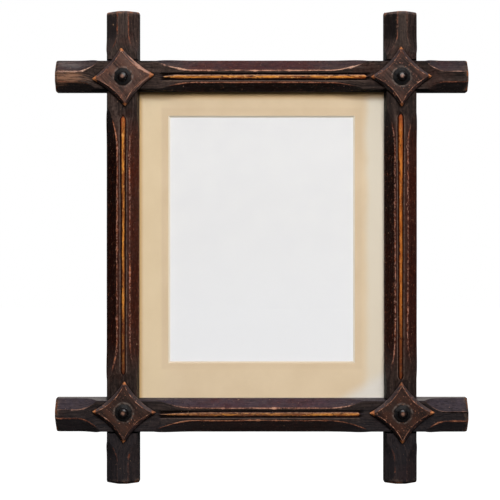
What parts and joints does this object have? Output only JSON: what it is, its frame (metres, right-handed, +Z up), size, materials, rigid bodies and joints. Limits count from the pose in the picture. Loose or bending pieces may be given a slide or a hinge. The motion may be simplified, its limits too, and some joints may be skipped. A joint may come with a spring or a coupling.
{
  "type": "oxford picture frame",
  "caption": "Oxford picture frame of half-lapped wood members with projecting horns, corner stars with domed studs, a glazed window mount and a back held by turn buttons.",
  "frame": {"origin": "on the wall plane, which is the plane of the members' backs, at the centre of the sight opening", "axes": "+Z up, -Y to the front of the frame, +Y into the wall, +X to the right as seen from the front"},
  "size_m": [0.3418, 0.0348, 0.3906],
  "materials": {
    "dark_oak": "dark stain, satin, worn to bare wood on edges and bead",
    "star_wood": "brown stain, satin, tips worn to copper-coloured wood",
    "black_stud": "black, semi-gloss",
    "window_glass": "clear, polished",
    "mount_card": "aged beige, matte",
    "pale_sheet": "pale grey, matte",
    "grey_card": "brown grey, matte",
    "pine_board": "bare pine, darkened with age",
    "old_brass": "aged, satin"
  },
  "bodies": {
    "frame": {"rail_top": "dark_oak", "rail_bottom": "dark_oak", "stile_left": "dark_oak", "stile_right": "dark_oak", "star_top_left": "star_wood", "star_top_right": "star_wood", "star_bottom_left": "star_wood", "star_bottom_right": "star_wood", "stud_top_left": "black_stud", "stud_top_right": "black_stud", "stud_bottom_left": "black_stud", "stud_bottom_right": "black_stud", "glass": "window_glass", "window_mount": "mount_card", "picture_sheet": "pale_sheet", "backing_card": "grey_card", "backboard": "pine_board", "turn_screws": "old_brass", "hanger_plate": "old_brass", "hanger_screws": "old_brass"},
    "turn_left_upper": {"turn_left_upper": "old_brass"},
    "turn_left_lower": {"turn_left_lower": "old_brass"},
    "turn_right_upper": {"turn_right_upper": "old_brass"},
    "turn_right_lower": {"turn_right_lower": "old_brass"},
    "hanger_ring": {"hanger_ring": "old_brass"}
  },
  "joints": [
    {"name": "turn_left_upper_pivot", "type": "hinge", "parent": "frame", "child": "turn_left_upper", "pos_m": [-0.1141, 0, 0.078], "axis": [0, 1, 0], "continuous": true},
    {"name": "turn_left_lower_pivot", "type": "hinge", "parent": "frame", "child": "turn_left_lower", "pos_m": [-0.1141, 0, -0.078], "axis": [0, 1, 0], "continuous": true},
    {"name": "turn_right_upper_pivot", "type": "hinge", "parent": "frame", "child": "turn_right_upper", "pos_m": [0.1141, 0, 0.078], "axis": [0, 1, 0], "continuous": true},
    {"name": "turn_right_lower_pivot", "type": "hinge", "parent": "frame", "child": "turn_right_lower", "pos_m": [0.1141, 0, -0.078], "axis": [0, 1, 0], "continuous": true},
    {"name": "hanger_ring_swing", "type": "hinge", "parent": "frame", "child": "hanger_ring", "pos_m": [0, 0.00256, 0.14346], "axis": [1, 0, 0], "range_deg": [0, 180]}
  ]
}
